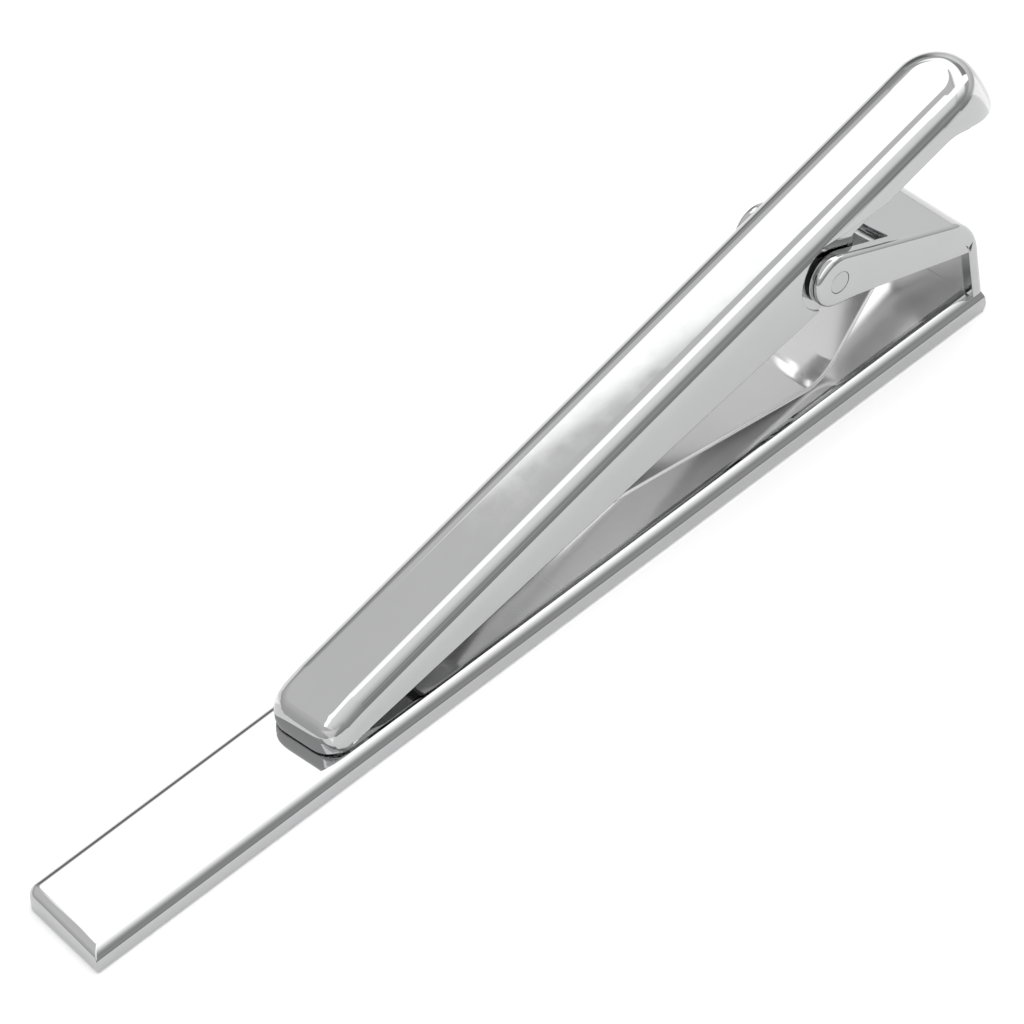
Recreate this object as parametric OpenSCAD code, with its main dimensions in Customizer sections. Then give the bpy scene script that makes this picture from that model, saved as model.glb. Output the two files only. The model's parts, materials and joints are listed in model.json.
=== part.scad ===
// Tie clip: a flat front bar, a sheet bracket on its end, a folded lever with
// a jaw and a thumb end, the pin that it turns on, and a leaf spring.
// X runs along the bar towards the hinge, Y across it, and Z from the front
// face of the bar up to the lever. The origin is the middle of the front face.

/* [Front bar] */
// Length of the bar along its middle
bar_len = 55; // [48:1:64]
// Width of the bar, and of the bracket that stands flush on it
bar_w = 5.5; // [5.2:0.1:6.5]
// Thickness of the bar
bar_t = 1.2; // [1:0.1:1.6]
// Angle of the slanted end
end_slant = 10; // [0:1:15]
// Radius along the edges of the back face
back_round = 0.38; // [0.2:0.02:0.42]
// Radius along the edges of the front face
front_round = 0.15; // [0.05:0.05:0.25]
// Radius where the front face rolls over the hinge end
hinge_end_round = 0.7; // [0.3:0.1:0.9]
// Radius in plan of the far corner of the slanted end
far_corner = 0.7; // [0.3:0.1:1]
// Radius in plan of the other three corners
sharp_corner = 0.25; // [0.15:0.05:0.5]

/* [Hinge bracket] */
// Thickness of the bracket's sheet
bracket_t = 0.65; // [0.5:0.05:0.8]
// Step from the bar's end to the outer face of the leg
leg_inset = 0.1; // [0.05:0.05:0.4]
// Outer radius of the bend between leg and top plate
bracket_bend = 2.4; // [1.8:0.1:2.8]
// Slope of the top plate down to the leg
plate_slope = 24.2; // [20:0.5:28]
// Radius of the rounded end of each arm round the pin
arm_r = 1.32; // [1.15:0.05:1.5]
// Height above the bar where the arms run into the leg
arm_foot = 2.95; // [2.5:0.05:3.2]
// Distance along the top plate from the pin to the edge between the arms
notch_reach = 3.4; // [3:0.1:4]
// How far the middle of that edge bulges towards the pin
notch_bulge = 0.3; // [0.1:0.05:0.5]
// Radius of the folded outer edges
fold_round = 0.3; // [0.1:0.05:0.4]

/* [Pivot] */
// Distance from the bar's hinge end to the pin
pivot_back = 8.5; // [7.5:0.1:9.5]
// Height of the pin above the back face of the bar
pivot_rise = 6.6; // [6:0.1:7.2]
// Radius of the pin
pin_r = 0.55; // [0.4:0.05:0.7]
// Chamfer round the pin's ends
pin_chamfer = 0.08; // [0.02:0.02:0.14]
// Radial clearance of the pin in the arms, where it is riveted
rivet_gap = 0.01; // [0.01:0.01:0.02]
// Radial clearance of the pin in the ears, which turn on it
running_gap = 0.04; // [0.02:0.01:0.08]

/* [Lever] */
// Thickness of the lever's sheet
lever_t = 0.35; // [0.25:0.05:0.45]
// Length from the pin to the end of the jaw
jaw_len = 32.4; // [28:0.2:35]
// Length from the pin to the thumb end
thumb_len = 11.6; // [11:0.2:14]
// Height of the top face above the pin
top_rise = 2.34; // [2.2:0.02:2.6]
// Height of the jaw's lip
jaw_h = 1.7; // [1.5:0.1:2]
// Gap between the closed jaw and the bar
jaw_gap = 0.05; // [0.03:0.01:0.1]
// Radius in plan of the jaw's corners
jaw_corner = 1.25; // [1.2:0.05:1.6]
// Radius of the shoulders round the top face
shoulder_r = 1.15; // [0.8:0.05:1.2]
// Height of the side walls on the thumb side
thumb_wall = 1.5; // [1.3:0.05:1.6]
// Radius of the ears round the pin
ear_r = 1.65; // [1.5:0.05:1.75]
// Distance from the pin to the lower edge of the jaw side's walls
wall_drop = 1.4; // [1.2:0.05:1.45]
// How deep each ear is pressed in from its wall
ear_recess = 0.15; // [0.08:0.01:0.2]
// How far the pressed pocket reaches past its ear
pocket_gap = 0.08; // [0.05:0.01:0.15]
// How far the lever turns to open the jaw
open_angle = 24; // [18:1:26]
// Gap between an ear and its arm
ear_gap = 0.1; // [0.06:0.02:0.14]

/* [Leaf spring] */
// Thickness of the leaf
leaf_t = 0.25; // [0.15:0.01:0.3]
// Gap between the leaf and each wall of the lever
leaf_side_gap = 0.4; // [0.36:0.01:0.5]
// Gap between the leaf's foot and the lever above it
leaf_foot_gap = 0.15; // [0.13:0.01:0.2]
// Distance from the pin back to where the leaf bears on the bar
leaf_bear_back = 1.1; // [0.6:0.1:1.6]
// Centre radius of the bend that bears on the bar
leaf_bend = 2.2; // [1.6:0.1:2.6]
// Distance along the lever from the pin to the start of the leaf's foot
leaf_reach = 21.9; // [18:0.1:24]
// Length of the foot under the lever
leaf_foot = 2.4; // [1.6:0.1:3]
// Centre radius of the bend into that foot
foot_bend = 1.5; // [1:0.1:2.5]
// Distance along the top plate from the pin to the leaf's upper bend
leaf_top_reach = 5.35; // [4.8:0.05:5.6]
// Centre radius of the upper bend
top_bend = 1.1; // [0.7:0.1:1.3]
// Length of the leaf under the top plate, from the upper bend's corner
leaf_top_foot = 1.25; // [1:0.05:1.35]

/* [Hidden] */
$fn = 72;
// Steps of each rounded corner in an outline
corner_steps = 8;
// Allowance that carries a cutting shape past the surface that it cuts
past = 1;
// Length of the shapes that trim the others
trim = 2 * bar_len;

pivot_x = bar_len / 2 - pivot_back;
pivot_z = bar_t + pivot_rise;
pivot = [pivot_x, pivot_z];
ear_face = bar_w / 2 - bracket_t - ear_gap;
lever_w = 2 * (ear_face + ear_recess);
leaf_w = lever_w - 2 * (lever_t + leaf_side_gap);

// The lever leans so that its closed jaw just clears the bar
jaw_drop = pivot_rise - jaw_gap - jaw_h;
lever_tilt = acos(-jaw_drop / norm([top_rise, jaw_len])) - atan2(jaw_len, top_rise);

// Top plate of the bracket, tangent to the round ends of its arms
plate_normal = [sin(plate_slope), cos(plate_slope)];
plate_run = [cos(plate_slope), -sin(plate_slope)];
plate_foot = pivot + arm_r * plate_normal;
leg_x = bar_len / 2 - leg_inset;
leg_run = (leg_x - plate_foot[0]) / plate_run[0];
bend_angle = 90 - plate_slope;
bend_run = bracket_bend * tan(bend_angle / 2);
bend_x = leg_x - bracket_bend;
bend_z = plate_foot[1] + leg_run * plate_run[1] - bend_run;
plate_len = leg_run - bend_run - notch_reach;

// Vectors in the XZ plane, and outlines with rounded corners
function unit(v) = v / norm(v);
function side(v) = [-v[1], v[0]];
function turned(v, a) = [v[0] * cos(a) - v[1] * sin(a), v[0] * sin(a) + v[1] * cos(a)];
function reversed(p) = [for (i = [len(p) - 1:-1:0]) p[i]];

// Arc that rounds corner b between a and c, moved sideways by off
function bend(a, b, c, r, off) =
    let (u = unit(b - a), w = unit(c - b), s = sign(u[0] * w[1] - u[1] * w[0]))
    let (full = acos(u * w), centre = b - u * r * tan(full / 2) + s * r * side(u))
    [for (i = [0:corner_steps])
        centre - s * (r - s * off) * turned(side(u), s * full * i / corner_steps)];

// Closed outline through the points, each corner rounded by its radius
function rounded(p, r) =
    let (n = len(p))
    [for (i = [0:n - 1])
        each r[i] > 0 ? bend(p[(i + n - 1) % n], p[i], p[(i + 1) % n], r[i], 0) : [p[i]]];

// One side of a bent strip whose middle line has the corners p
function strip_side(p, r, off) =
    let (n = len(p))
    concat(
        [p[0] + off * side(unit(p[1] - p[0]))],
        [for (i = [1:n - 2]) each bend(p[i - 1], p[i], p[i + 1], r[i], off)],
        [p[n - 1] + off * side(unit(p[n - 1] - p[n - 2]))]);
function strip(p, r, t) = concat(strip_side(p, r, t / 2), reversed(strip_side(p, r, -t / 2)));

// A place on the lever, along it and above the pin, as a place on the clip
function on_lever(p) = pivot + turned(p, lever_tilt);

// Point where a line from p touches a circle round c, on its left or right
function touch(c, r, p, hand) =
    let (v = p - c)
    c + r * turned(unit(v), hand * acos(r / norm(v)));

// Extrudes an XZ outline across the clip
module across(w) {
    rotate([90, 0, 0])
        linear_extrude(w, center = true)
            children();
}

// Carries a shape from the lever's own frame to its closed place
module at_lever() {
    translate([pivot_x, 0, pivot_z])
        rotate([0, -lever_tilt, 0])
            children();
}

// Flat bar with rounded long edges, one slanted end and one rolled end
module front_bar() {
    half_w = bar_w / 2;
    half_len = bar_len / 2;
    slant_run = half_w * tan(end_slant);
    section = [[-half_w, 0], [half_w, 0], [half_w, bar_t], [-half_w, bar_t]];
    plan = [
        [-half_len - slant_run, -half_w], [half_len, -half_w],
        [half_len, half_w], [-half_len + slant_run, half_w]];
    color("silver")
        intersection() {
            translate([-trim / 2, 0, 0])
                rotate([90, 0, 90])
                    linear_extrude(trim)
                        polygon(rounded(section, [front_round, front_round, back_round, back_round]));
            linear_extrude(bar_t)
                polygon(rounded(plan, [sharp_corner, sharp_corner, sharp_corner, far_corner]));
            translate([-half_len, 0, 0])
                rotate([0, 0, -end_slant])
                    across(trim)
                        polygon(rounded([[0, 0], [trim, 0], [trim, bar_t], [0, bar_t]],
                            [front_round, 0, 0, back_round]));
            translate([half_len, 0, 0])
                across(trim)
                    polygon(rounded([[-trim, 0], [0, 0], [0, bar_t], [-trim, bar_t]],
                        [0, hinge_end_round, front_round, 0]));
        }
}

// Section of the bracket's sheet at the bend's radius, outer edges rounded
module sheet_section() {
    inner = bracket_bend - bracket_t;
    half_w = bar_w / 2;
    polygon(rounded([[inner, -half_w], [bracket_bend, -half_w], [bracket_bend, half_w], [inner, half_w]],
        [0, fold_round, fold_round, 0]));
}

// Leg, bend and top plate, which ends in a bulging edge between the arms
module bracket_sheet() {
    gap_half = bar_w / 2 - bracket_t;
    bulge_r = (pow(gap_half, 2) + pow(notch_bulge, 2)) / (2 * notch_bulge);
    translate([bend_x, 0, bar_t])
        linear_extrude(bend_z - bar_t)
            sheet_section();
    translate([bend_x, 0, bend_z])
        rotate([90, 0, 0])
            rotate_extrude(angle = bend_angle)
                sheet_section();
    translate([bend_x, 0, bend_z])
        rotate([0, -bend_angle, 0])
            intersection() {
                translate([bracket_bend - bracket_t, -gap_half - bracket_t / 2, 0])
                    cube([bracket_t, 2 * gap_half + bracket_t, plate_len + notch_bulge]);
                translate([0, 0, plate_len + notch_bulge - bulge_r])
                    rotate([0, 90, 0])
                        cylinder(h = bracket_bend + past, r = bulge_r, $fn = 144);
            }
}

// Section of one arm beside the pin, its outer corner rounded
module arm_section(hand) {
    inner = hand * (bar_w / 2 - bracket_t);
    outer = hand * bar_w / 2;
    polygon(rounded([[0, inner], [arm_r, inner], [arm_r, outer], [0, outer]], [0, 0, fold_round, 0]));
}

// Long block whose face lies at the arm's radius from the pin, facing the angle
module arm_trim(angle) {
    half_w = bar_w / 2;
    translate([pivot_x, 0, pivot_z])
        rotate([0, -angle, 0])
            translate([0, 0, -trim / 2])
                linear_extrude(trim)
                    polygon(rounded([[-trim, -half_w], [arm_r, -half_w], [arm_r, half_w], [-trim, half_w]],
                        [0, fold_round, fold_round, 0]));
}

// One arm, folded down from the top plate, with a round end on the pin
module bracket_arm(hand) {
    foot = [leg_x - bracket_t, bar_t + arm_foot];
    low_touch = touch(pivot, arm_r, foot, -1);
    low_normal = unit(low_touch - pivot);
    low_angle = atan2(low_normal[1], low_normal[0]);
    run_in = plate_foot + (leg_run - bend_run) * plate_run;
    outline = [
        pivot, low_touch + past * low_normal, foot + past * low_normal, foot + [bracket_t / 2, 0],
        run_in - bracket_t / 2 * plate_normal, run_in + past * plate_normal,
        plate_foot + past * plate_normal];
    intersection() {
        translate([0, hand * (bar_w - bracket_t + past) / 2, 0])
            across(bracket_t + past)
                polygon(outline);
        arm_trim(bend_angle);
        arm_trim(low_angle);
    }
    translate([pivot_x, 0, pivot_z])
        rotate([90, 0, 0])
            rotate([0, 0, bend_angle])
                rotate_extrude(angle = 360 + low_angle - bend_angle)
                    arm_section(-hand);
}

// Bracket that carries the pin above the bar's end
module hinge_bracket() {
    color("gainsboro")
        difference() {
            union() {
                bracket_sheet();
                for (hand = [-1, 1])
                    bracket_arm(hand);
            }
            translate([pivot_x, 0, pivot_z])
                across(bar_w + 2 * past)
                    circle(r = pin_r + rivet_gap);
        }
}

// Lever's pressed channel, inset by a thickness, rounded over its shoulders and ends
module channel(inset) {
    half_w = lever_w / 2 - inset;
    top = top_rise - inset;
    shoulder = shoulder_r - inset;
    corner = jaw_corner - inset;
    low = -2 * ear_r;
    jaw_start = jaw_corner - jaw_len;
    thumb_centre = thumb_len - lever_w / 2;
    section = [[-half_w, low], [half_w, low], [half_w, top], [-half_w, top]];
    jaw_section = [[0, low], [0, top], [-corner, top], [-corner, low]];
    translate([jaw_start, 0, 0])
        rotate([90, 0, 90])
            linear_extrude(thumb_centre - jaw_start)
                polygon(rounded(section, [0, 0, shoulder, shoulder]));
    translate([thumb_centre, 0, 0])
        rotate_extrude()
            polygon(rounded([[0, low], [half_w, low], [half_w, top], [0, top]], [0, 0, shoulder, 0]));
    translate([jaw_start, 0, 0])
        across(2 * (half_w - corner))
            polygon(rounded(jaw_section, [0, 0, shoulder, 0]));
    for (hand = [-1, 1])
        translate([jaw_start, hand * (half_w - corner), 0])
            rotate([0, 0, 135 - 45 * hand])
                rotate_extrude(angle = 90)
                    polygon(rounded([[0, low], [corner, low], [corner, top], [0, top]], [0, 0, shoulder, 0]));
}

// Outside of the lever: the channel cut by one side outline of walls and ears
module lever_outside() {
    lip_low = top_rise - jaw_h / cos(lever_tilt);
    wall_touch = touch([0, 0], wall_drop, [-jaw_len, lip_low], 1);
    thumb_low = top_rise - thumb_wall;
    outline = [
        [-jaw_len, lip_low], [-jaw_len - past, lip_low], [-jaw_len - past, top_rise + past],
        [thumb_len + past, top_rise + past], [thumb_len + past, thumb_low],
        [ear_r + thumb_low / 3, thumb_low], [ear_r, 0], wall_touch];
    intersection() {
        channel(0);
        across(2 * lever_w)
            union() {
                polygon(outline);
                circle(r = ear_r);
            }
    }
}

// Room for one arm beside its ear, over the whole turn of the lever
module arm_pocket(hand) {
    pocket_r = ear_r + pocket_gap;
    translate([0, hand * (ear_face + past / 2), 0])
        across(past) {
            circle(r = pocket_r);
            rotate([0, 0, open_angle - plate_slope - lever_tilt])
                translate([0, -pocket_r])
                    square([2.6 * pocket_r, 2 * pocket_r]);
        }
}

// Folded lever, hollow below, with two ears on the pin
module lever() {
    color("lightgray")
        at_lever()
            difference() {
                union() {
                    difference() {
                        lever_outside();
                        channel(lever_t);
                    }
                    for (hand = [-1, 1])
                        translate([0, hand * (ear_face - lever_t / 2), 0])
                            across(lever_t)
                                circle(r = ear_r);
                }
                for (hand = [-1, 1])
                    arm_pocket(hand);
                across(bar_w)
                    circle(r = pin_r + running_gap);
            }
}

// Pin riveted flush in the arms
module pivot_pin() {
    half = bar_w / 2;
    neck = pin_r - pin_chamfer;
    profile = [
        [0, -half], [neck, -half], [pin_r, -half + pin_chamfer],
        [pin_r, half - pin_chamfer], [neck, half], [0, half]];
    color("darkgray")
        translate([pivot_x, 0, pivot_z])
            rotate([90, 0, 0])
                rotate_extrude()
                    polygon(profile);
}

// Leaf spring: a foot under the lever, a bend on the bar, a foot under the plate
module leaf_spring() {
    foot_v = top_rise - lever_t - leaf_foot_gap - leaf_t / 2;
    foot_end = on_lever([-leaf_reach - leaf_foot, foot_v]);
    foot_start = on_lever([-leaf_reach, foot_v]);
    top_line = plate_foot - (bracket_t + leaf_t / 2) * plate_normal;
    top_corner = top_line + leaf_top_reach * plate_run;
    top_end = top_corner + leaf_top_foot * plate_run;
    bear = [pivot_x - leaf_bear_back, bar_t + leaf_t / 2 + leaf_bend];
    long_dir = unit(touch(bear, leaf_bend, foot_start, 1) - foot_start);
    short_dir = unit(top_corner - touch(bear, leaf_bend, top_corner, -1));
    half_bend = acos(long_dir * short_dir) / 2;
    corner = bear - leaf_bend / cos(half_bend) * side(unit(long_dir + short_dir));
    color("whitesmoke")
        across(leaf_w)
            polygon(strip([foot_end, foot_start, corner, top_corner, top_end],
                [0, foot_bend, leaf_bend, top_bend, 0], leaf_t));
}

front_bar();
hinge_bracket();
lever();
pivot_pin();
leaf_spring();
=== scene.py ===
"""Tie clip of polished plated metal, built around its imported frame."""

import json
import math

import bmesh
import bpy
from mathutils import Matrix, Vector

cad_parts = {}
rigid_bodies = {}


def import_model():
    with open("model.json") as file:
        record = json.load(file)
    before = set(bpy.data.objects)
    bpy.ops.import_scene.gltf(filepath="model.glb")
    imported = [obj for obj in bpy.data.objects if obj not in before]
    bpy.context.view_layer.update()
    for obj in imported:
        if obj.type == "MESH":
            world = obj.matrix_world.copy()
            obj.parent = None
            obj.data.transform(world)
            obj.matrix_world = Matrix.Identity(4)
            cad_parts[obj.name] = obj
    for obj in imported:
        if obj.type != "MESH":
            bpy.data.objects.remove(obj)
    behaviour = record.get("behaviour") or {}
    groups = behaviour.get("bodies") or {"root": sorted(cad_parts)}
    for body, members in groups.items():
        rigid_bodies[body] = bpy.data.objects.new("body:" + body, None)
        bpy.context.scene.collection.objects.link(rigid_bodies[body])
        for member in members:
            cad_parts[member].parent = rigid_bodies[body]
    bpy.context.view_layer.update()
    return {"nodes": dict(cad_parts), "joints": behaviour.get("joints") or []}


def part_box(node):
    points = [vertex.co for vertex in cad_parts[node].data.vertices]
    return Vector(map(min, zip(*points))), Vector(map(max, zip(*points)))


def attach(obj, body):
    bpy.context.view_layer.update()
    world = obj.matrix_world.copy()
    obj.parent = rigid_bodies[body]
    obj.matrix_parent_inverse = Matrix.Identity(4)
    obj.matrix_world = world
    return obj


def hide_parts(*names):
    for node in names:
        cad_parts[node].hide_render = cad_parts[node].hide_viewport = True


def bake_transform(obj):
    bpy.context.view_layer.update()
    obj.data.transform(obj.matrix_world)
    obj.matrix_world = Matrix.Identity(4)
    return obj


bl_info = {
    "name": "Tie clip",
    "version": (1, 0, 0),
    "blender": (4, 5, 0),
    "location": "3D View > Sidebar > Tie clip",
    "description": "Builds a sprung tie clip of polished plated metal",
    "category": "Object",
}

for start_object in list(bpy.data.objects):
    bpy.data.objects.remove(start_object)
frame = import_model()
MM = 0.001
PIVOT = Vector(frame["joints"][0]["pos_m"])
LEVER_TILT = math.radians(12.717)
ALONG = Vector((math.cos(LEVER_TILT), 0, math.sin(LEVER_TILT)))
RISE = Vector((-math.sin(LEVER_TILT), 0, math.cos(LEVER_TILT)))

# The bar's slanting end, and the rest of its roundings: shares are of the roll of its near edge
BAR_SLANT = math.radians(10)
FAR_CORNER = 0.6 * MM
HINGE_CORNER = 0.45 * MM
END_SHARE = 0.75
LEAST_SHARE = 0.2

# Sheet pieces: the angle past which an edge is rounded, the reach of the bores round the pin, and the border that
# keeps the lever's back flat up to its shoulders
SHARP = math.radians(32)
BORE_REACH = 0.7 * MM
BACK_BORDER = 0.04 * MM

# The jaw's hood, in millimetres along the lever and below its top: its cuts and roll, its smoothing, its wall
HOOD_STEP, HOOD_CUTS, HOOD_RUN = 0.2, 13, 2.6
HOOD_SMOOTH_RUN, HOOD_SMOOTH_DEPTH, HOOD_ROUNDS = 2.5, 1.25, 6
HOOD_WALL_FOOT, HOOD_WALL_RUN = 1.7, 1.4

# The thumb end's lip, in millimetres before the end and below the top, and how far out it flares for its drop
LIP_STEP, LIP_CUTS, LIP_START, LIP_FULL = 0.25, 7, 3.6, 0.3
LIP_WALL_TOP, LIP_WALL_FULL = 0.6, 1.5
LIP_FLARE = 0.2

# Corners and bends of the leaf's centre line, in millimetres, and the length of its steps
LEAF_CORNERS = [(-5.0814, 4.1235), (-2.7403, 4.6518), (18.581, 1.1854), (24.1033, 6.104), (25.2434, 5.5916)]
LEAF_BENDS = [0, 1.5, 2.2, 1.1, 0]
LEAF_STEP = 0.6 * MM
BEND_STEPS = 16

# The inner faces of the plated pieces, which no buffing wheel reaches and where shade falls; their satin finish has a
# lighter colour, which is painted fill light. Each lies within planes across the piece: a direction, how far along it
# the faces go, and the blur where it isn't the usual one, in millimetres
BLUR = 0.04
BAR_INSIDE_PAINTED_FILL = [((-1, 0, 0), 3, 8), ((0, 0, -1), -1.14), ((0, -1, 0), 1.95)]
BRACKET_INSIDE_PAINTED_FILL = [((0, 1, 0), 2.2), ((0, -1, 0), 2.2), ((1, 0, 0), 26.95), ((0.4494, 0, 1), 17.35)]
LEVER_INSIDE_PAINTED_FILL = [((0, 1, 0), 1.85), ((0, -1, 0), 1.85), (tuple(RISE), 5.2), (tuple(-ALONG), 11.6), (tuple(ALONG), 31.3)]

# Finish: how much less metallic and how much rougher the inner faces are, which lets their lighter satin colour show
# as painted fill light, and how dark the blush is
SATIN_LOSS, SATIN_ROUGH = 0.3, 0.12
BLUSH_TONE = 0.985

# Sizes of the patterns as cells per metre, and depths of the waves and hairlines in metres
BLUSH_SCALE, SMUDGE_SCALE, WAVE_SCALE = 420, 900, 230
HAIRLINE_SCALE = (400, 14000, 14000)
WAVE_DEPTH, HAIRLINE_DEPTH = 0.000012, 0.0000006

# Stage, in metres: half the side of the softbox, which is the radius of the surround, and the floor's radius and drop
STAGE_REACH = 0.6
FLOOR_REACH, FLOOR_DROP = 0.62, 0.02 * MM

# The floor darkens with painted shade between two distances from the clip, and glows a little where it is seen or
# mirrored, less where that shade falls
FLOOR_SHADE_FADE = (0.07, 0.3)
FLOOR_FAR_SHADE, FLOOR_GLOW = 0.62, 0.22

# The softbox: direction across the panel's slanting edge and the two places along it, and tones in front of the clip
PANEL_SLANT = (0.32, 1, 0)
PANEL_LINE = (0.2104, 0.2110)
FRONT_TONE, LEAST_TONE = 1.4, 0.47

# Tones of the surround, at shares of a turn from the -X side by way of -Y
SURROUND_TONES = [
    (0, 0.65), (0.136, 0.45), (0.25, 0.4), (0.3, 0.4), (0.33, 0.36), (0.37, 0.45), (0.42, 0.7), (0.55, 0.9),
    (0.6, 1), (0.63, 0.8), (0.655, 0.2), (0.685, 0.2), (0.73, 0.65), (1, 0.65)]

# The photograph's view: directions, millimetres from the origin to the right and up, and distance for each
# millimetre of lens
VIEW_RIGHT = Vector((0.706171, -0.704101, -0.074591))
VIEW_AHEAD = Vector((0.472368, 0.546975, -0.691149))
VIEW_CENTRE = (0.2932, 4.2588)
VIEW_DISTANCE = 1.2538


def length(name, description, default, low, high):
    """A size property in metres."""
    return bpy.props.FloatProperty(
        name=name, description=description, default=default, min=low, max=high,
        unit="LENGTH", subtype="DISTANCE", precision=5)


def share(name, description, default, low=0.0, high=1.0):
    """A plain number property."""
    return bpy.props.FloatProperty(
        name=name, description=description, default=default, min=low, max=high, subtype="FACTOR")


def colour(name, description, default):
    """A colour property."""
    return bpy.props.FloatVectorProperty(
        name=name, description=description, default=default, size=3, min=0, max=1, subtype="COLOR")


class ClipSizes(bpy.types.PropertyGroup):
    """Sizes that the finished pieces add to the frame"""

    sheet_edge: length("Sheet edge", "Rounding of the cut edges of lever and bracket", 0.00005, 0.00001, 0.0001)
    bar_edge: length("Bar edge", "Softening of the ridges at the corners of the bar", 0.00006, 0.00001, 0.0001)
    bar_roll: length("Bar roll", "Rounding of the long near edge of the bar's back face", 0.0007, 0.0003, 0.0007)
    nose_drop: length("Nose drop", "How far the top of the jaw rolls down to its lip", 0.0005, 0.0, 0.0007)
    thumb_lip: length("Thumb lip", "How far the wall of the thumb end reaches down", 0.0012, 0.0, 0.0014)
    rivet_edge: length("Rivet edge", "Chamfer round the flush ends of the rivet", 0.00005, 0.00002, 0.0001)
    leaf_thickness: length("Leaf thickness", "Thickness of the leaf spring", 0.00025, 0.0001, 0.0003)
    leaf_edge: length("Leaf edge", "Rounding of the long edges of the leaf spring", 0.00005, 0.00001, 0.0001)


class ClipFinish(bpy.types.PropertyGroup):
    """Colours and polish of the metals"""

    plating: colour("Plating", "Colour of the plated bar, bracket and lever", (0.46, 0.462, 0.465))
    rivet: colour("Rivet", "Colour of the rivet", (0.44, 0.442, 0.446))
    # The satin colour is lighter than the plating: painted fill light in the shade of the inner faces
    satin: colour("Satin", "Colour of the inner faces, which are not buffed", (0.68, 0.68, 0.68))
    # The spring's light colour, like the satin, is partly painted fill light in the shade under the lever
    spring: colour("Spring", "Colour of the leaf spring", (0.68, 0.68, 0.68))
    polish: share("Polish roughness", "Roughness of the polished faces", 0.025, 0.01, 0.3)
    waviness: share("Waviness", "How much the buffed faces roll", 0.05)
    hairlines: share("Hairlines", "Depth of the fine polishing lines", 0.02)


class ClipStage(bpy.types.PropertyGroup):
    """Floor, lights and camera"""

    floor: colour("Floor", "Colour of the pale floor", (0.8, 0.8, 0.8))
    softbox: share("Softbox", "Strength of the bright panels of the softbox", 2.35, 0.5, 3.0)
    dimmed: share("Dimmed part", "Strength of the softbox between its bright panels", 1.0, 0.2, 2.0)
    softbox_height: length("Softbox height", "Height of the softbox above the floor", 0.3, 0.2, 0.6)
    surround: length("Surround height", "Height of the grey surround", 0.3, 0.05, 0.4)
    lens: bpy.props.FloatProperty(
        name="Lens", description="Focal length of the camera in millimetres", default=1600, min=100, max=2000,
        unit="CAMERA")


# Helpers for meshes


def new_piece(name, bm, body, material, node):
    """Makes the finished mesh a piece that stands for a node of the frame."""
    if not bm.faces:
        raise RuntimeError(f"{name} has no faces")
    mesh = bpy.data.meshes.new(name)
    bm.to_mesh(mesh)
    bm.free()
    piece = bpy.data.objects.new(name, mesh)
    bpy.context.scene.collection.objects.link(piece)
    mesh.materials.append(material)
    if body:
        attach(piece, body)
    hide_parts(node)
    return piece


def merged_copy(node):
    """A welded copy of a node's mesh, with its flat faces whole again."""
    bm = bmesh.new()
    bm.from_mesh(frame["nodes"][node].data)
    bmesh.ops.remove_doubles(bm, verts=bm.verts, dist=3e-7)
    bmesh.ops.dissolve_limit(bm, angle_limit=math.radians(0.4), verts=bm.verts, edges=bm.edges)
    bmesh.ops.triangulate(bm, faces=[f for f in bm.faces if len(f.verts) > 4], ngon_method="BEAUTY")
    for face in bm.faces:
        face.smooth = True
    return bm


def round_the_pin(edge):
    """True for an edge of the bores round the pin."""
    reach = [math.hypot(v.co.x - PIVOT.x, v.co.z - PIVOT.z) for v in edge.verts]
    return max(reach) < BORE_REACH


def weigh_edges(bm):
    """Marks each sharp edge of a sheet piece for rounding, and keeps the bores round the pin sharp."""
    weight = bm.edges.layers.float.new("bevel_weight_edge")
    for edge in bm.edges:
        if len(edge.link_faces) == 2 and edge.calc_face_angle(0) > SHARP:
            if round_the_pin(edge):
                edge.smooth = False
            else:
                edge[weight] = 1


def round_off(bm, edges, radius, segments=8):
    """Rounds the edges to a radius."""
    bmesh.ops.bevel(
        bm, geom=edges, offset=radius, offset_type="OFFSET", segments=segments, profile=0.5, affect="EDGES",
        material=-1)


def add_bevel(piece, name, width, segments=3, angle=None, clamp=False):
    """A live rounding of the marked edges, or of all the edges sharper than an angle in degrees."""
    bevel = piece.modifiers.new(name, "BEVEL")
    bevel.width = width
    bevel.segments = segments
    bevel.use_clamp_overlap = clamp
    bevel.limit_method = "ANGLE" if angle else "WEIGHT"
    if angle:
        bevel.angle_limit = math.radians(angle)
    return bevel


def keep_flat(piece, keep_sharp=False):
    """Keeps the flat faces flat in the reflections."""
    normals = piece.modifiers.new("Reflections", "WEIGHTED_NORMAL")
    normals.keep_sharp = keep_sharp
    normals.weight = 60


def soften(piece, width):
    """Rounds the marked edges of a sheet piece."""
    edges = add_bevel(piece, "Edges", width)
    edges.miter_outer = "MITER_ARC"
    keep_flat(piece, keep_sharp=True)


def apply_modifiers(piece):
    """Makes the modified shape the piece's own mesh."""
    shaped = piece.evaluated_get(bpy.context.evaluated_depsgraph_get())
    mesh = bpy.data.meshes.new_from_object(shaped)
    piece.modifiers.clear()
    piece.data = mesh


# Polished metals


def link(tree, source, output, target, socket):
    """Links two nodes by the names or places of their sockets."""
    tree.links.new(source.outputs[output], target.inputs[socket])


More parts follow.
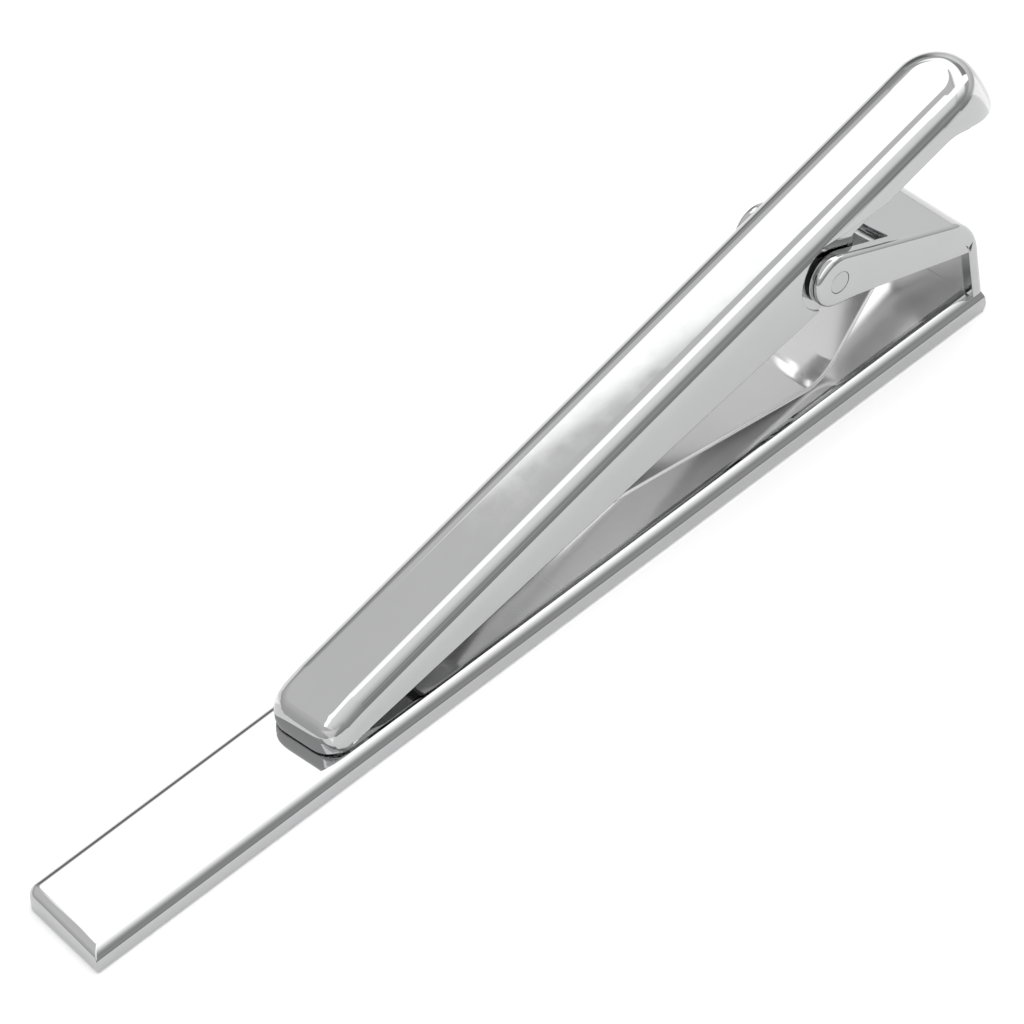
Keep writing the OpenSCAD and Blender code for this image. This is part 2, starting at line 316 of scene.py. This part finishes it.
def pattern(tree, scale, detail, stretch=(1, 1, 1)):
    """Noise on the piece's own coordinates, stretched along an axis."""
    place = tree.nodes.new("ShaderNodeTexCoord")
    mapping = tree.nodes.new("ShaderNodeMapping")
    mapping.inputs["Scale"].default_value = stretch
    noise = tree.nodes.new("ShaderNodeTexNoise")
    noise.inputs["Scale"].default_value = scale
    noise.inputs["Detail"].default_value = detail
    link(tree, place, "Object", mapping, "Vector")
    link(tree, mapping, "Vector", noise, "Vector")
    return noise


def ranged(tree, source, low, high):
    """Brings a noise to the range from low to high."""
    node = tree.nodes.new("ShaderNodeMapRange")
    node.inputs["From Min"].default_value = 0.3
    node.inputs["From Max"].default_value = 0.7
    node.inputs["To Min"].default_value = low
    node.inputs["To Max"].default_value = high
    link(tree, source, "Fac", node, "Value")
    return node


def fade(tree, source, output, start, end, low, high):
    """A soft step of a value from low to high."""
    step = tree.nodes.new("ShaderNodeMapRange")
    step.interpolation_type = "SMOOTHSTEP"
    for socket, value in (("From Min", start), ("From Max", end), ("To Min", low), ("To Max", high)):
        step.inputs[socket].default_value = value
    link(tree, source, output, step, "Value")
    return step


def combine(tree, operation, first, second):
    """The two values, or a value and a number, brought together."""
    node = tree.nodes.new("ShaderNodeMath")
    node.operation = operation
    for i, part in enumerate((first, second)):
        if isinstance(part, bpy.types.Node):
            link(tree, part, 0, node, i)
        else:
            node.inputs[i].default_value = part
    return node


def plane_side(tree, way, level, blur=BLUR):
    """1 on the near side of a plane across the piece's coordinates, and 0 past it, in millimetres."""
    place = tree.nodes.new("ShaderNodeTexCoord")
    across = tree.nodes.new("ShaderNodeVectorMath")
    across.operation = "DOT_PRODUCT"
    across.inputs[1].default_value = way
    link(tree, place, "Object", across, 0)
    return fade(tree, across, "Value", (level - blur) * MM, (level + blur) * MM, 1, 0)


def satin_and_fill_mask(tree, planes):
    """1 on the inner faces that the buffing wheel doesn't reach, within all the planes, where the lighter satin colour
    is painted fill light.
    """
    inner = None
    for plane in planes:
        side = plane_side(tree, *plane)
        inner = combine(tree, "MULTIPLY", inner, side) if inner else side
    return inner


def blank_material(name):
    """A material with only its output, its node tree and that output."""
    material = bpy.data.materials.get(name) or bpy.data.materials.new(name)
    material.use_nodes = True
    tree = material.node_tree
    tree.nodes.clear()
    return material, tree, tree.nodes.new("ShaderNodeOutputMaterial")


def buffed_metal(name, rough):
    """Metal with buffing waves, hairlines and faint smudges, which the caller gives its colour."""
    finish = bpy.context.scene.clip_finish
    material, tree, output = blank_material(name)
    metal = tree.nodes.new("ShaderNodeBsdfPrincipled")
    link(tree, metal, "BSDF", output, "Surface")
    smudge = ranged(tree, pattern(tree, SMUDGE_SCALE, 4), rough * 0.75, rough * 1.5)
    waves = tree.nodes.new("ShaderNodeBump")
    waves.inputs["Strength"].default_value = finish.waviness
    waves.inputs["Distance"].default_value = WAVE_DEPTH
    link(tree, pattern(tree, WAVE_SCALE, 1, (0.6, 1, 1)), "Fac", waves, "Height")
    lines = tree.nodes.new("ShaderNodeBump")
    lines.inputs["Strength"].default_value = finish.hairlines
    lines.inputs["Distance"].default_value = HAIRLINE_DEPTH
    link(tree, pattern(tree, 1, 2, HAIRLINE_SCALE), "Fac", lines, "Height")
    link(tree, waves, "Normal", lines, "Normal")
    link(tree, lines, "Normal", metal, "Normal")
    return material, tree, metal, smudge


def polished_metal(name, tone, rough, inside=None):
    """Mirror polish with a faint blush, and a satin finish on the inner faces within the planes, whose lighter colour
    is painted fill light in their shade.
    """
    material, tree, metal, smudge = buffed_metal(name, rough)
    blush = tree.nodes.new("ShaderNodeValToRGB")
    blush.color_ramp.elements[0].position = 0.35
    blush.color_ramp.elements[0].color = (*[c * BLUSH_TONE for c in tone], 1)
    blush.color_ramp.elements[1].position = 0.65
    blush.color_ramp.elements[1].color = (*tone, 1)
    link(tree, pattern(tree, BLUSH_SCALE, 2), "Fac", blush, "Fac")
    if not inside:
        metal.inputs["Metallic"].default_value = 1
        link(tree, blush, "Color", metal, "Base Color")
        link(tree, smudge, "Result", metal, "Roughness")
        return material
    inner = satin_and_fill_mask(tree, inside)
    # A Mix node has its sockets once for each kind of data: inputs 6 and 7 and output 2 are those of a colour
    both = tree.nodes.new("ShaderNodeMix")
    both.data_type = "RGBA"
    link(tree, inner, 0, both, "Factor")
    link(tree, blush, "Color", both, 6)
    # The lighter satin colour on the inner faces is painted fill light in their shade
    both.inputs[7].default_value = (*bpy.context.scene.clip_finish.satin, 1)
    link(tree, both, 2, metal, "Base Color")
    loss = combine(tree, "MULTIPLY", inner, SATIN_LOSS)
    link(tree, combine(tree, "SUBTRACT", 1, loss), "Value", metal, "Metallic")
    more = combine(tree, "MULTIPLY", inner, SATIN_ROUGH)
    link(tree, combine(tree, "ADD", smudge, more), "Value", metal, "Roughness")
    return material


def satin_and_fill_metal(name, tone, rough):
    """The satin finish of the inner faces, all over, whose lighter colour is painted fill light in their shade."""
    material, tree, metal, smudge = buffed_metal(name, rough)
    metal.inputs["Base Color"].default_value = (*tone, 1)
    metal.inputs["Metallic"].default_value = 1 - SATIN_LOSS
    link(tree, combine(tree, "ADD", smudge, SATIN_ROUGH), "Value", metal, "Roughness")
    return material


def glowing(name, strength_from):
    """Emission whose strength comes from a pattern of the stage."""
    material, tree, output = blank_material(name)
    glow = tree.nodes.new("ShaderNodeEmission")
    link(tree, glow, "Emission", output, "Surface")
    strength_from(tree, glow)
    return material


# Pieces


def at_level(edge, level):
    """True for an edge that lies at the level."""
    return all(abs(v.co.z - level) < 0.01 * MM for v in edge.verts)


class TIECLIP_OT_bar(bpy.types.Operator):
    """Build the front bar with its rolled edges"""

    bl_idname = "tie_clip.bar"
    bl_label = "Front bar"

    def execute(self, context):
        sizes, finish = context.scene.clip_sizes, context.scene.clip_finish
        low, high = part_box("front_bar")
        width, end = high.y - low.y, high.x
        bm = bmesh.new()
        size = Matrix.Diagonal((2 * end, width, high.z - low.z, 1))
        bmesh.ops.create_cube(bm, size=1, matrix=Matrix.Translation((0, 0, (low.z + high.z) / 2)) @ size)
        for vert in bm.verts:
            if vert.co.x < 0:
                vert.co.x += vert.co.y * math.tan(BAR_SLANT)
        far = [e for e in bm.edges if all(v.co.x < 0 < v.co.y for v in e.verts)]
        round_off(bm, far, FAR_CORNER)
        hinge_end = [e for e in bm.edges if at_level(e, low.z) and all(v.co.x > 0 for v in e.verts)]
        round_off(bm, hinge_end, HINGE_CORNER)
        weight = bm.edges.layers.float.new("bevel_weight_edge")
        for edge in bm.edges:
            if edge.calc_face_angle(0) < math.radians(30):
                continue
            if at_level(edge, high.z):
                near_side = all(v.co.y < -0.49 * width for v in edge.verts)
                hinge = all(v.co.x > 0.99 * end for v in edge.verts)
                edge[weight] = 1 if near_side else LEAST_SHARE if hinge else END_SHARE
            elif at_level(edge, low.z):
                edge[weight] = LEAST_SHARE
        for face in bm.faces:
            face.smooth = True
        metal = polished_metal("bar metal", finish.plating, finish.polish, BAR_INSIDE_PAINTED_FILL)
        bar = new_piece("bar_body", bm, "front", metal, "front_bar")
        add_bevel(bar, "Rolled edges", sizes.bar_roll, segments=10)
        add_bevel(bar, "Ridges", sizes.bar_edge, angle=24)
        keep_flat(bar)
        return {"FINISHED"}


class TIECLIP_OT_bracket(bpy.types.Operator):
    """Build the folded hinge bracket"""

    bl_idname = "tie_clip.bracket"
    bl_label = "Hinge bracket"

    def execute(self, context):
        sizes, finish = context.scene.clip_sizes, context.scene.clip_finish
        bm = merged_copy("hinge_bracket")
        weigh_edges(bm)
        metal = polished_metal("bracket metal", finish.plating, finish.polish, BRACKET_INSIDE_PAINTED_FILL)
        bracket = new_piece("bracket_body", bm, "front", metal, "hinge_bracket")
        soften(bracket, sizes.sheet_edge)
        return {"FINISHED"}


def on_lever(point):
    """Distance along the lever and height above the pin, in millimetres."""
    return (point - PIVOT).dot(ALONG) / MM, (point - PIVOT).dot(RISE) / MM


def cut_across(bm, places):
    """Cuts the lever square to its length, so that it can be pressed to shape there."""
    for place in places:
        bmesh.ops.bisect_plane(
            bm, geom=[*bm.verts, *bm.edges, *bm.faces], plane_co=PIVOT + ALONG * place * MM, plane_no=ALONG,
            dist=1e-7)


def eased(value, start, end):
    """A smooth share from 0 at the start to 1 at the end."""
    run = min(1, max(0, (value - start) / (end - start)))
    return run * run * (3 - 2 * run)


def press_ends(bm, nose_drop, thumb_lip):
    """Rolls the jaw's top down to its lip, and draws the wall of the thumb end down."""
    spread = [on_lever(v.co) for v in bm.verts]
    jaw, thumb = min(along for along, _ in spread), max(along for along, _ in spread)
    top = max(height for _, height in spread)
    cut_across(bm, [jaw + HOOD_STEP * i for i in range(1, HOOD_CUTS + 1)])
    cut_across(bm, [thumb - LIP_START + LIP_STEP * i for i in range(LIP_CUTS)])
    hood = []
    for vert in bm.verts:
        along, height = on_lever(vert.co)
        if along < jaw + HOOD_SMOOTH_RUN and height > top - HOOD_SMOOTH_DEPTH:
            hood.append(vert)
        if along < jaw + HOOD_RUN:
            run = (jaw + HOOD_RUN - along) / HOOD_RUN
            wall = min(1, max(0, (height - top + HOOD_WALL_FOOT) / HOOD_WALL_RUN))
            vert.co -= RISE * nose_drop * run * run * wall
        else:
            pull = eased(along, thumb - LIP_START, thumb - LIP_FULL)
            pull *= eased(height, top - LIP_WALL_TOP, top - LIP_WALL_FULL)
            vert.co += (LIP_FLARE * ALONG - RISE) * thumb_lip * pull
    for _ in range(HOOD_ROUNDS):
        bmesh.ops.smooth_vert(bm, verts=hood, factor=0.5, use_axis_x=True, use_axis_y=True, use_axis_z=True)


class TIECLIP_OT_lever(bpy.types.Operator):
    """Build the folded lever with its jaw and thumb end"""

    bl_idname = "tie_clip.lever"
    bl_label = "Lever"

    def execute(self, context):
        sizes, finish = context.scene.clip_sizes, context.scene.clip_finish
        bm = merged_copy("lever")
        weigh_edges(bm)
        back = [f for f in bm.faces if f.normal.dot(RISE) > 0.9999 and on_lever(f.calc_center_median())[1] > 2]
        bmesh.ops.inset_region(bm, faces=back, thickness=BACK_BORDER, use_even_offset=True)
        press_ends(bm, sizes.nose_drop, sizes.thumb_lip)
        metal = polished_metal("lever metal", finish.plating, finish.polish, LEVER_INSIDE_PAINTED_FILL)
        lever = new_piece("lever_body", bm, "lever", metal, "lever")
        soften(lever, sizes.sheet_edge)
        return {"FINISHED"}


class TIECLIP_OT_pin(bpy.types.Operator):
    """Build the rivet that the lever turns on"""

    bl_idname = "tie_clip.pin"
    bl_label = "Rivet"

    def execute(self, context):
        sizes, finish = context.scene.clip_sizes, context.scene.clip_finish
        low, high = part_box("pivot_pin")
        radius = (high.x - low.x) / 2
        bm = bmesh.new()
        turn = Matrix.Translation((low + high) / 2) @ Matrix.Rotation(math.pi / 2, 4, "X")
        bmesh.ops.create_cone(
            bm, cap_ends=True, segments=72, radius1=radius, radius2=radius, depth=high.y - low.y, matrix=turn)
        rims = [e for e in bm.edges if any(len(f.verts) > 4 for f in e.link_faces)]
        round_off(bm, rims, sizes.rivet_edge, segments=3)
        for face in bm.faces:
            face.smooth = len(face.verts) == 4
        metal = polished_metal("rivet metal", finish.rivet, finish.polish * 1.3)
        new_piece("rivet_body", bm, "front", metal, "pivot_pin")
        return {"FINISHED"}


def run_on(bm, edge, way, steps):
    """Carries the last edge of a strip straight on."""
    for _ in range(steps):
        made = bmesh.ops.extrude_edge_only(bm, edges=[edge])["geom"]
        verts = [g for g in made if isinstance(g, bmesh.types.BMVert)]
        bmesh.ops.translate(bm, vec=way / steps, verts=verts)
        edge = next(g for g in made if isinstance(g, bmesh.types.BMEdge) and set(g.verts) == set(verts))
    return edge


def bend_on(bm, edge, centre, angle, steps):
    """Carries the last edge of a strip round a bend."""
    made = bmesh.ops.spin(
        bm, geom=[edge, *edge.verts], cent=centre, axis=(0, 1, 0), dvec=(0, 0, 0), angle=angle,
        steps=steps, use_duplicate=False)["geom_last"]
    return next(g for g in made if isinstance(g, bmesh.types.BMEdge))


def bent_strip(corners, radii, half_width, step):
    """A strip that follows the corners in the XZ plane, with a round bend at each."""
    points = [Vector((x * MM, 0, z * MM)) for x, z in corners]
    bm = bmesh.new()
    side = Vector((0, half_width, 0))
    edge = bm.edges.new([bm.verts.new(points[0] - side), bm.verts.new(points[0] + side)])
    here = points[0]
    for i, corner in enumerate(points[1:], 1):
        way = (corner - here).normalized()
        last = i == len(points) - 1
        onward = way if last else (points[i + 1] - corner).normalized()
        turn = way.angle(onward)
        radius = radii[i] * MM
        stop = corner if last else corner - way * radius * math.tan(turn / 2)
        edge = run_on(bm, edge, stop - here, max(1, round((stop - here).length / step)))
        if not last:
            hand = math.copysign(1, way.cross(onward).y)
            centre = stop + way.cross(Vector((0, -hand, 0))) * radius
            edge = bend_on(bm, edge, centre, hand * turn, BEND_STEPS)
            here = corner + onward * radius * math.tan(turn / 2)
            off = (sum((v.co for v in edge.verts), Vector()) / 2 - here).length
            if off > 0.01 * MM:
                raise RuntimeError(f"bend {i} ends {off / MM:.3f} mm from its place")
    return bm


class TIECLIP_OT_leaf(bpy.types.Operator):
    """Build the leaf spring, bent round its corners"""

    bl_idname = "tie_clip.leaf"
    bl_label = "Leaf spring"

    def execute(self, context):
        sizes, finish = context.scene.clip_sizes, context.scene.clip_finish
        low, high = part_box("leaf_spring")
        bm = bent_strip(LEAF_CORNERS, LEAF_BENDS, (high.y - low.y) / 2, LEAF_STEP)
        for face in bm.faces:
            face.smooth = True
        # The leaf's light satin colour is partly painted fill light in its shade under the lever
        metal = satin_and_fill_metal("spring metal", finish.spring, finish.polish * 1.2)
        leaf = new_piece("leaf_body", bm, None, metal, "leaf_spring")
        sheet = leaf.modifiers.new("Sheet", "SOLIDIFY")
        sheet.thickness = sizes.leaf_thickness
        sheet.offset = 0
        sheet.use_even_offset = True
        add_bevel(leaf, "Edges", sizes.leaf_edge, angle=50, clamp=True)
        keep_flat(leaf)
        apply_modifiers(leaf)
        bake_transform(leaf)
        return {"FINISHED"}


# Stage


def softbox_strength(tree, glow):
    """A bright panel behind the clip, a strip in front of it and a rail for the bar's near edge, dimmer between."""
    stage = bpy.context.scene.clip_stage
    place = tree.nodes.new("ShaderNodeTexCoord")
    apart = tree.nodes.new("ShaderNodeSeparateXYZ")
    slant = tree.nodes.new("ShaderNodeVectorMath")
    slant.operation = "DOT_PRODUCT"
    slant.inputs[1].default_value = PANEL_SLANT
    link(tree, place, "Object", apart, "Vector")
    link(tree, place, "Object", slant, 0)

    # Each tone starts and ends softly between two places on the softbox, in metres along its X or Y
    def across(axis, start, end, low, high):
        return fade(tree, apart, axis, start, end, low, high)

    def after(axis, start, end):
        return across(axis, start, end, 0, 1)

    def before(axis, start, end):
        return across(axis, start, end, 1, 0)

    def times(first, *others):
        for other in others:
            first = combine(tree, "MULTIPLY", first, other)
        return first

    behind = fade(tree, slant, "Value", *PANEL_LINE, 0, 1)
    depth = combine(tree, "MAXIMUM", times(after("X", 0.12, 0.15), before("Y", 0.28, 0.34)), before("Y", 0.224, 0.24))
    panel = times(behind, after("X", 0.044, 0.048), before("X", 0.27, 0.33), depth)
    strip = times(after("Y", -0.125, -0.095), before("Y", 0, 0.02))
    rail = times(after("X", 0.1, 0.13), before("Y", 0.2, 0.24), before("X", 0.27, 0.33), after("Y", -0.34, 0))
    bright = combine(tree, "MAXIMUM", combine(tree, "MAXIMUM", panel, strip), rail)

    front = times(across("Y", -0.6, -0.13, 0.65, FRONT_TONE), across("X", 0.09, 0.13, 1, 0.52))
    base = combine(tree, "ADD", front, across("Y", -0.1, 0, 0, stage.dimmed - FRONT_TONE))
    base = combine(tree, "MAXIMUM", base, LEAST_TONE)
    base = combine(tree, "ADD", base, times(across("Y", 0.2, 0.26, 0, 0.25), after("X", 0.1, 0.14)))
    lift = combine(tree, "SUBTRACT", stage.softbox, base)
    total = combine(tree, "ADD", base, times(lift, bright))
    link(tree, total, "Value", glow, "Strength")


def surround_strength(tree, glow):
    """A grey surround, darkest in a narrow band behind the clip and dim from the camera round to its right."""
    place = tree.nodes.new("ShaderNodeTexCoord")
    apart = tree.nodes.new("ShaderNodeSeparateXYZ")
    round_about = tree.nodes.new("ShaderNodeTexGradient")
    round_about.gradient_type = "RADIAL"
    ramp = tree.nodes.new("ShaderNodeValToRGB")
    while len(ramp.color_ramp.elements) < len(SURROUND_TONES):
        ramp.color_ramp.elements.new(0.5)
    for element, (at, tone) in zip(ramp.color_ramp.elements, SURROUND_TONES):
        element.position = at
        element.color = (tone, tone, tone, 1)
    link(tree, place, "Object", apart, "Vector")
    link(tree, place, "Object", round_about, "Vector")
    link(tree, round_about, "Fac", ramp, "Fac")
    link(tree, ramp, "Color", glow, "Color")
    link(tree, fade(tree, apart, "Z", 0, 0.28, 1.05, 1.4), "Result", glow, "Strength")


def stage_object(name, bm, material):
    """A part of the stage, which isn't part of the clip."""
    mesh = bpy.data.meshes.new(name)
    bm.to_mesh(mesh)
    bm.free()
    thing = bpy.data.objects.new(name, mesh)
    bpy.context.scene.collection.objects.link(thing)
    mesh.materials.append(material)
    return thing


class TIECLIP_OT_stage(bpy.types.Operator):
    """Set out the pale floor, the soft lights and the camera"""

    bl_idname = "tie_clip.stage"
    bl_label = "Stage and camera"

    def execute(self, context):
        scene = context.scene
        stage = scene.clip_stage
        bm = bmesh.new()
        bmesh.ops.create_circle(bm, cap_ends=True, segments=96, radius=FLOOR_REACH)
        bmesh.ops.translate(bm, vec=(0, 0, -FLOOR_DROP), verts=bm.verts)
        stage_object("floor", bm, self.floor_material(stage.floor))

        bm = bmesh.new()
        bmesh.ops.create_grid(bm, x_segments=1, y_segments=1, size=STAGE_REACH)
        bmesh.ops.rotate(bm, cent=(0, 0, 0), matrix=Matrix.Rotation(math.pi, 3, "X"), verts=bm.verts)
        bmesh.ops.translate(bm, vec=(0, 0, stage.softbox_height), verts=bm.verts)
        softbox = stage_object("softbox", bm, glowing("softbox light", softbox_strength))
        softbox.visible_camera = False

        bm = bmesh.new()
        bmesh.ops.create_cone(
            bm, cap_ends=False, segments=96, radius1=STAGE_REACH, radius2=STAGE_REACH, depth=stage.surround)
        bmesh.ops.translate(bm, vec=(0, 0, stage.surround / 2), verts=bm.verts)
        surround = stage_object("surround", bm, glowing("surround tone", surround_strength))
        surround.visible_camera = False

        world = scene.world or bpy.data.worlds.new("World")
        scene.world = world
        world.use_nodes = True
        backdrop = world.node_tree.nodes["Background"]
        backdrop.inputs["Color"].default_value = (1, 1, 1, 1)
        backdrop.inputs["Strength"].default_value = 1

        scene.cycles.glossy_bounces = 10
        self.camera(scene, stage.lens)
        scene.view_settings.view_transform = "Standard"
        return {"FINISHED"}

    def floor_material(self, tone):
        """Matt pale paper with the faintest mottle, which shows white and keeps the shadow, and darkens further out
        with painted shade.
        """
        material = bpy.data.materials.new("pale floor")
        material.use_nodes = True
        tree = material.node_tree
        paper = tree.nodes["Principled BSDF"]
        paper.inputs["Roughness"].default_value = 0.9
        paper.inputs["Specular IOR Level"].default_value = 0.1
        ramp = tree.nodes.new("ShaderNodeValToRGB")
        ramp.color_ramp.elements[0].color = (*[c * 0.995 for c in tone], 1)
        ramp.color_ramp.elements[1].color = (*tone, 1)
        link(tree, pattern(tree, 60, 2), "Fac", ramp, "Fac")
        place = tree.nodes.new("ShaderNodeTexCoord")
        away = tree.nodes.new("ShaderNodeVectorMath")
        away.operation = "LENGTH"
        link(tree, place, "Object", away, 0)
        # Painted shade: the paper and its glow darken between the two distances from the clip
        painted_falloff = fade(tree, away, "Value", *FLOOR_SHADE_FADE, 1, FLOOR_FAR_SHADE)
        shaded = tree.nodes.new("ShaderNodeHueSaturation")
        link(tree, ramp, "Color", shaded, "Color")
        link(tree, painted_falloff, "Result", shaded, "Value")
        link(tree, shaded, "Color", paper, "Base Color")
        ray = tree.nodes.new("ShaderNodeLightPath")
        shown = 0
        for kind in ("Is Camera Ray", "Is Glossy Ray", "Is Transmission Ray"):
            shown = combine(tree, "MAXIMUM", shown, 0)
            link(tree, ray, kind, shown, 1)
        white = tree.nodes.new("ShaderNodeEmission")
        glow = combine(tree, "MULTIPLY", painted_falloff, FLOOR_GLOW)
        link(tree, combine(tree, "MULTIPLY", shown, glow), "Value", white, "Strength")
        both = tree.nodes.new("ShaderNodeAddShader")
        link(tree, paper, "BSDF", both, 0)
        link(tree, white, "Emission", both, 1)
        link(tree, both, "Shader", tree.nodes["Material Output"], "Surface")
        return material

    def camera(self, scene, lens):
        """The photograph's view of the clip."""
        ahead = VIEW_AHEAD.normalized()
        up = VIEW_RIGHT.normalized().cross(ahead)
        right = ahead.cross(up)
        data = bpy.data.cameras.new("Camera")
        data.sensor_width = 36
        data.lens = lens
        data.clip_start = 0.01
        data.clip_end = 10
        camera = bpy.data.objects.new("Camera", data)
        scene.collection.objects.link(camera)
        across, above = VIEW_CENTRE
        place = (across * right + above * up - VIEW_DISTANCE * lens * ahead) * MM
        camera.matrix_world = Matrix.Translation(place) @ Matrix((right, up, -ahead)).transposed().to_4x4()
        scene.camera = camera


class VIEW3D_PT_tie_clip(bpy.types.Panel):
    """Panel that lists the sizes, the finishes and the steps"""

    bl_label = "Tie clip"
    bl_space_type = "VIEW_3D"
    bl_region_type = "UI"
    bl_category = "Tie clip"

    def draw(self, context):
        for group in (context.scene.clip_sizes, context.scene.clip_finish, context.scene.clip_stage):
            box = self.layout.box()
            for name in group.__annotations__:
                box.prop(group, name)
        for step in STEPS:
            self.layout.operator(step.bl_idname)


STEPS = (TIECLIP_OT_bar, TIECLIP_OT_bracket, TIECLIP_OT_lever, TIECLIP_OT_pin, TIECLIP_OT_leaf, TIECLIP_OT_stage)
GROUPS = (ClipSizes, ClipFinish, ClipStage)


def register():
    for item in (*GROUPS, *STEPS, VIEW3D_PT_tie_clip):
        bpy.utils.register_class(item)
    bpy.types.Scene.clip_sizes = bpy.props.PointerProperty(type=ClipSizes)
    bpy.types.Scene.clip_finish = bpy.props.PointerProperty(type=ClipFinish)
    bpy.types.Scene.clip_stage = bpy.props.PointerProperty(type=ClipStage)


def unregister():
    del bpy.types.Scene.clip_stage
    del bpy.types.Scene.clip_finish
    del bpy.types.Scene.clip_sizes
    for item in reversed((*GROUPS, *STEPS, VIEW3D_PT_tie_clip)):
        bpy.utils.unregister_class(item)


def main():
    register()
    bpy.ops.tie_clip.bar()
    bpy.ops.tie_clip.bracket()
    bpy.ops.tie_clip.lever()
    bpy.ops.tie_clip.pin()
    bpy.ops.tie_clip.leaf()
    bpy.ops.tie_clip.stage()


if __name__ == "__main__":
    main()
